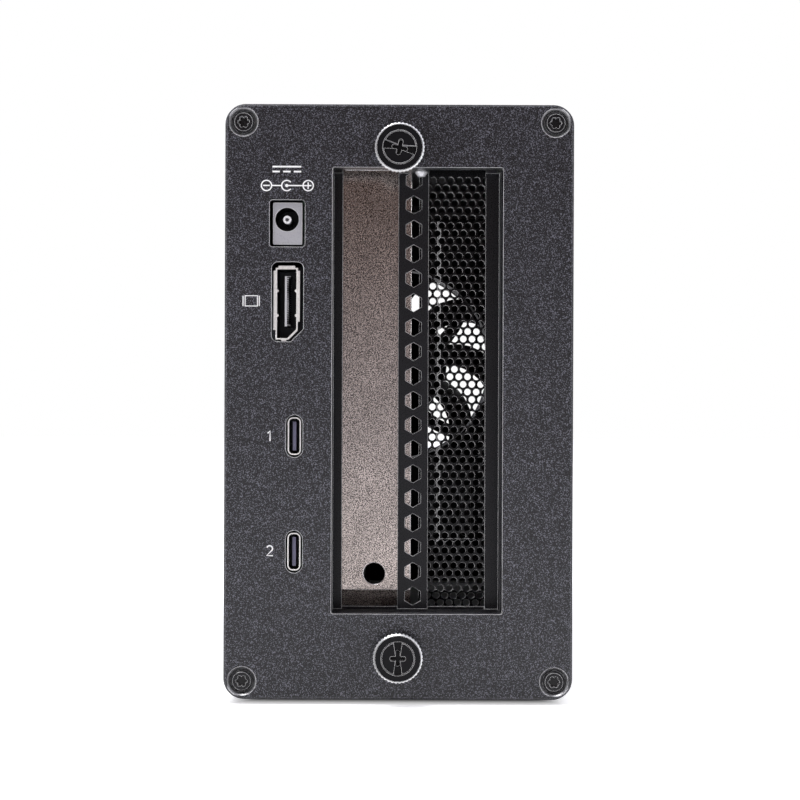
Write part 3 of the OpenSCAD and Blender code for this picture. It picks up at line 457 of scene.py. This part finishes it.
def wound_copper(name):
    """Enamelled wire round the stator's poles."""
    made, s = material(name)
    turns = s.node("ShaderNodeTexWave", {"bands_direction": "Y"}, Scale=900.0, Distortion=0.6)
    s.feed(turns.inputs["Vector"], s.place())
    crest = turns.outputs["Fac"]
    s.surface(
        Base_Color=s.blend(crest, COPPER_DARK, COPPER_PALE),
        Metallic=1.0,
        Roughness=0.35,
        Normal=s.bump(crest, 0.1 * MM, strength=0.5),
    )
    return made


# Plastic, rubber and boards

SKIN_CLOUD = 9 * MM
SKIN_CLOUD_TONE = 0.8
SKIN_PITS = (0.55, 0.7)
SKIN_PIT_SHARE = 0.5
SKIN_PIT_TONE = 0.6
SKIN_ROUGH = (0.06, 0.06)
SKIN_EDGE_R = 0.2 * MM
SKIN_PAINTED_SHADE = (0.003, 0.003, 0.003)


def moulded(name, tone, rough, grain=0.3 * MM, depth=0.01 * MM, clear=0.0, edge=None, shine=0.5,
            painted_shade_from=None):
    """Moulded plastic or rubber with a faint skin texture; painted_shade_from blackens what lies deeper,
    as painted shade.
    """
    made, s = material(name)
    skin = s.noise(grain, detail=2.0)
    cloud = s.noise(SKIN_CLOUD, detail=2.0)
    base = s.blend(s.range(cloud, *NOISE_SPAN), scaled(tone, SKIN_CLOUD_TONE), tone)
    pits = s.range(skin, *SKIN_PITS, 0.0, SKIN_PIT_SHARE)
    base = s.blend(pits, base, scaled(tone, SKIN_PIT_TONE))
    if edge is not None:
        # Pale edges are painted highlight
        base = s.blend(s.edges(SKIN_EDGE_R), base, grey(edge))
    # Painted shade inside sockets: what lies deeper than painted_shade_from turns near black
    if painted_shade_from is not None:
        base = s.blend(s.depth(painted_shade_from, painted_shade_from + PAINTED_SHADE_BLUR), base, SKIN_PAINTED_SHADE)
    s.surface(
        Base_Color=base,
        Roughness=s.roughness(skin, rough, SKIN_ROUGH),
        Normal=s.bump(skin, depth, strength=0.5),
        Specular_IOR_Level=shine,
        Transmission_Weight=clear,
    )
    return made


BOARD_CLOUD = 6 * MM
BOARD_DARK = (0.006, 0.016, 0.012)
BOARD_PALE = (0.010, 0.026, 0.018)
TRACE = (0.03, 0.07, 0.045)
TRACE_SHARE = 0.6
TRACE_DEPTH = 0.02 * MM


def circuit_board(name):
    """Dark solder mask with faint copper lines under it."""
    made, s = material(name)
    lines = s.node("ShaderNodeTexBrick", {"offset": 0.35}, Scale=160.0, Mortar_Size=0.012)
    flat = s.node("ShaderNodeCombineXYZ", X=s.along("Y"), Y=s.along("Z"))
    s.feed(lines.inputs["Vector"], flat.outputs[0])
    trace = lines.outputs["Fac"]
    cloud = s.noise(BOARD_CLOUD, detail=3.0)
    mask = s.blend(s.range(cloud, *NOISE_SPAN), BOARD_DARK, BOARD_PALE)
    base = s.blend(s.math("MULTIPLY", trace, TRACE_SHARE), mask, TRACE)
    s.surface(Base_Color=base, Roughness=0.34, Normal=s.bump(trace, TRACE_DEPTH, strength=0.4))
    return made


# Each material slot of the record: how it is made, and with what
FINISHES = {
    "case_black": (powder_coat, dict(
        level=0.0035, glint_level=0.14, edge=1.0, edge_r=0.2 * MM, shine=0.57, wear_and_highlight_mask=case_wear_and_highlight, seats=True)),
    "frame_black": (powder_coat, dict(
        level=0.004, glint_level=0.010, edge=0.85, edge_r=0.16 * MM, shine=0.3, wear_and_highlight_mask=frame_edge_highlight)),
    "vented_black": (powder_coat, dict(
        level=0.0008, glint_level=0.003, edge=1.0, edge_r=VENT_EDGE_R, rough=0.22, shine=0.25,
        wear_and_highlight_mask=vent_edge_highlight)),
    "black_screw": (powder_coat, dict(level=0.003, glint_level=0.008, edge=0.9, edge_r=0.13 * MM, shine=0.4)),
    "thumb_metal": (thumbscrew_metal, {}),
    "spring_steel": (bare_steel, dict(tone=(0.42, 0.42, 0.43), rough=0.3)),
    "bright_screw": (bare_steel, dict(tone=(0.92, 0.92, 0.94), rough=0.3, contrast=0.85, metallic=0.35)),
    "bare_cover": (bare_steel, dict(
        tone=(0.77, 0.67, 0.62), rough=0.17, streaks=0.05, contrast=0.1, metallic=0.85,
        grain_size=0.24 * MM, cover_edge=1.0)),
    "clear_guide": (moulded, dict(tone=(0.86, 0.88, 0.9), rough=0.18, clear=0.7)),
    "fan_plastic": (moulded, dict(tone=(0.002, 0.002, 0.0025), rough=0.6, shine=0.15)),
    "bearing_bronze": (bare_steel, dict(tone=(0.55, 0.36, 0.18), rough=0.35)),
    "motor_copper": (wound_copper, {}),
    "magnet": (moulded, dict(tone=(0.05, 0.05, 0.052), rough=0.55)),
    "circuit_board": (circuit_board, {}),
    "spacer_brass": (bare_steel, dict(tone=(0.78, 0.58, 0.26), rough=0.28)),
    "socket_grey": (moulded, dict(
        tone=(0.37, 0.365, 0.39), rough=0.5, depth=0.03 * MM, edge=0.75, painted_shade_from=1.0 * MM)),
    "shell_metal": (bare_steel, dict(
        tone=(0.92, 0.9, 0.87), rough=0.3, contrast=0.85, metallic=0.6, painted_shade_from=0.8 * MM)),
    "black_plastic": (moulded, dict(tone=(0.016, 0.016, 0.018), rough=0.42)),
    "tongue_grey": (moulded, dict(tone=(0.13, 0.125, 0.19), rough=0.42)),
    "contact_strip": (contact_comb, {}),
    "heat_sink": (bare_steel, dict(tone=(0.2, 0.2, 0.21), rough=0.42, streak_axis=1)),
    "can_metal": (bare_steel, dict(tone=(0.66, 0.66, 0.68), rough=0.3)),
    "coil_grey": (moulded, dict(tone=(0.1, 0.1, 0.105), rough=0.6)),
    "pale_plastic": (moulded, dict(tone=(0.75, 0.72, 0.64), rough=0.4)),
    "lead_black": (moulded, dict(tone=(0.014, 0.014, 0.015), rough=0.36)),
    "foot_rubber": (moulded, dict(tone=(0.02, 0.02, 0.021), rough=0.75, grain=0.5 * MM, depth=0.04 * MM)),
}


def finish_nodes():
    made = {slot: make(slot, **settings) for slot, (make, settings) in FINISHES.items()}
    for part in RECORD["subparts"]:
        mesh = NODES[part["node"]].data
        mesh.materials.clear()
        mesh.materials.append(made[part["material_slot"]])
        mesh.polygons.foreach_set("material_index", [0] * len(mesh.polygons))


# White print on the rear panel, in millimetres; its strokes are flattened to this share of their width
PRINT_FLATTENING = 0.1
PRINT_LINE = 0.32
BOLD_LINE = 0.42
THIN_LINE = 0.26
NUMERAL_LINE = 0.36
PRINT_DULL = (0.75, 0.75, 0.75)
PRINT_CLEAN = (0.9, 0.9, 0.9)


class Print:
    """Strokes of white print, as one flattened curve on the rear panel."""

    def __init__(self, name):
        self.curve = bpy.data.curves.new(name, "CURVE")
        self.curve.dimensions = "3D"
        self.curve.bevel_depth = 1.0
        self.curve.bevel_resolution = 2
        self.curve.use_fill_caps = True
        self.object = bpy.data.objects.new(name, self.curve)
        bpy.context.scene.collection.objects.link(self.object)

    def path(self, points, width, closed=False):
        """A stroke through points given as x and z in millimetres."""
        spline = self.curve.splines.new("POLY")
        spline.points.add(len(points) - 1)
        for point, (x, z) in zip(spline.points, points):
            point.co = (x * MM, 0, z * MM, 1)
            point.radius = width * MM / 2
        spline.use_cyclic_u = closed

    def arc(self, x, z, radius, width, start=0, end=360, steps=36):
        angles = [math.radians(start + (end - start) * k / steps) for k in range(steps + 1)]
        whole = end - start == 360
        points = [(x + radius * math.cos(a), z + radius * math.sin(a)) for a in angles]
        self.path(points[:-1] if whole else points, width, closed=whole)

    def place(self, y, finish):
        self.object.location.y = y
        self.object.scale.y = PRINT_FLATTENING
        self.curve.materials.append(finish)
        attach(self.object, "case")


POLARITY_X = (-32.4, -27.45, -22.25)
POLARITY_Z = 126.3
POLARITY_R = 1.25
POLARITY_BAR = 0.8
DOT_R = 0.2


def polarity_sign(print_on):
    """Ring with a minus, open ring with a dot, ring with a plus, joined by lines."""
    left, middle, right = POLARITY_X
    z = POLARITY_Z
    r = POLARITY_R
    half = POLARITY_BAR
    print_on.arc(left, z, r, PRINT_LINE)
    print_on.path([(left - half, z), (left + half, z)], PRINT_LINE)
    print_on.arc(middle, z, r, PRINT_LINE, start=40, end=320, steps=28)
    print_on.arc(middle, z, DOT_R, BOLD_LINE, steps=12)
    print_on.arc(right, z, r, PRINT_LINE)
    print_on.path([(right, z - half), (right, z + half)], PRINT_LINE)
    print_on.path([(left + r, z), (middle - r, z)], PRINT_LINE)
    print_on.path([(middle, z), (right + half, z)], PRINT_LINE)


def direct_current_sign(print_on):
    """A full line over three dashes."""
    x = POLARITY_X[1]
    line_z, dash_z = 130.9, 129.7
    length, dash = 7.0, 1.8
    print_on.path([(x - length / 2, line_z), (x + length / 2, line_z)], BOLD_LINE)
    for k in (-1, 0, 1):
        middle = x + k * (length - dash) / 2
        print_on.path([(middle - dash / 2, dash_z), (middle + dash / 2, dash_z)], BOLD_LINE)


def screen_sign(print_on):
    """A screen with a bar on each side."""
    left, right = -37.5, -34.5
    low, high = 96.95, 99.45
    left_bar, right_bar = -38.0, -34.05
    print_on.path([(left, low), (right, low), (right, high), (left, high)], PRINT_LINE, closed=True)
    for x in (left_bar, right_bar):
        print_on.path([(x, low), (x, high)], THIN_LINE)


def numerals(print_on):
    """1 and 2 beside the two small sockets."""
    x = -31.3
    one_z, two_z = 65.3, 37.4
    half = 1.2
    flag_x, flag_z = x - 0.6, one_z + 0.672
    print_on.path([(flag_x, flag_z), (x, one_z + half), (x, one_z - half)], NUMERAL_LINE)
    bow_r = 0.7
    bow_z = two_z + 0.5
    angles = [math.radians(a) for a in range(160, -50, -15)]
    bow = [(x + bow_r * math.cos(a), bow_z + bow_r * math.sin(a)) for a in angles]
    base = [(x - 0.7, two_z - half), (x + 0.8, two_z - half)]
    print_on.path(bow + base, NUMERAL_LINE)


def make_print():
    made, s = material("white_print")
    dust = s.range(s.noise(0.3 * MM), *NOISE_SPAN)
    s.surface(Base_Color=s.blend(dust, PRINT_DULL, PRINT_CLEAN), Roughness=0.6)
    print_on = Print("rear_print")
    polarity_sign(print_on)
    direct_current_sign(print_on)
    screen_sign(print_on)
    numerals(print_on)
    print_on.place(REAR_FACE, made)


# Studio

ROOM_GLOW = (0.69, 0.69, 0.76)
DARK_WALL = (0.105, 0.050, 0.026)

# Where the dark wall's foot, top and sides fade out, as parts of a ray's direction
WALL_FOOT = (-0.03, 0.10)
WALL_TOP = (0.55, 0.85)
WALL_SIDES = (0.6, 0.85)


def make_world():
    """White to the camera; what reflects sees a pale room with a dark wall behind the camera."""
    world = bpy.data.worlds.new("studio")
    bpy.context.scene.world = world
    s = Shader(world, "ShaderNodeOutputWorld")
    path = s.node("ShaderNodeLightPath")
    direction = s.node("ShaderNodeTexCoord").outputs["Generated"]
    height = s.axis(direction, "Z")
    above = s.range(height, *WALL_FOOT)
    below = s.range(height, *WALL_TOP, 1.0, 0.0)
    behind = s.range(s.math("MULTIPLY", s.axis(direction, "Y"), -1.0), *WALL_SIDES)
    dark = s.math("MULTIPLY", s.math("MULTIPLY", above, behind), below)
    room = s.node("ShaderNodeBackground", Color=s.blend(dark, ROOM_GLOW, DARK_WALL), Strength=1.0)
    white = s.node("ShaderNodeBackground", Color=colour(grey(1.0)), Strength=1.0)
    seen = s.node("ShaderNodeMixShader", Fac=s.straight(path))
    s.feed(seen.inputs[1], room.outputs[0])
    s.feed(seen.inputs[2], white.outputs[0])
    s.feed(s.output.inputs["Surface"], seen.outputs[0])


FLOOR_HALF = 3.0
FLOOR_CORNERS = ((-1, -1), (1, -1), (1, 1), (-1, 1))
FLOOR_TONE = 0.86
FLOOR_GLOW = 0.5
FLOOR_SHEEN = 0.13

# The floor's glow is cut out under the case up to this band inside its outline, a painted contact shadow
FLOOR_SHADE = (-8 * MM, -2.5 * MM)


def make_floor():
    """White floor that glows to the camera, faintly in reflections, and not under the case, where the
    missing glow paints the case's contact shadow.
    """
    mesh = bpy.data.meshes.new("floor")
    corners = [(x * FLOOR_HALF, y * FLOOR_HALF, 0) for x, y in FLOOR_CORNERS]
    mesh.from_pydata(corners, [], [(0, 1, 2, 3)])
    floor = bpy.data.objects.new("floor", mesh)
    bpy.context.scene.collection.objects.link(floor)
    made, s = material("white_floor")
    path = s.node("ShaderNodeLightPath")
    lit = s.range(s.outside(REAR_LOW, FRONT_HIGH, "X", "Y"), *FLOOR_SHADE, 0.0, FLOOR_GLOW)
    glow = s.math("MULTIPLY", s.straight(path), lit)
    sheen = s.math("MULTIPLY", path.outputs["Is Glossy Ray"], FLOOR_SHEEN)
    s.surface(
        Base_Color=colour(grey(FLOOR_TONE)),
        Roughness=0.9,
        Specular_IOR_Level=0.0,
        Emission_Color=colour(grey(1.0)),
        Emission_Strength=s.math("ADD", glow, sheen),
    )
    mesh.materials.append(made)


LAMP_TARGET = Vector((0, 0, 0.07))


def area_lamp(name, place, size, power):
    data = bpy.data.lights.new(name, "AREA")
    data.shape = "DISK"
    data.size = size
    data.energy = power
    lamp = bpy.data.objects.new(name, data)
    lamp.location = place
    lamp.rotation_euler = (LAMP_TARGET - Vector(place)).to_track_quat("-Z", "Y").to_euler()
    bpy.context.scene.collection.objects.link(lamp)


def make_lamps():
    area_lamp("key", place=(-0.35, -0.4, 1.25), size=0.7, power=9)
    area_lamp("left", place=(-1.1, -0.85, 0.06), size=0.5, power=9)
    area_lamp("right", place=(1.1, -0.8, 0.35), size=0.5, power=3)
    area_lamp("back", place=(0.5, 1.2, 1.0), size=0.9, power=10)


make_camera()
finish_nodes()
make_print()
make_world()
make_floor()
make_lamps()
bpy.context.scene.view_settings.view_transform = "Standard"
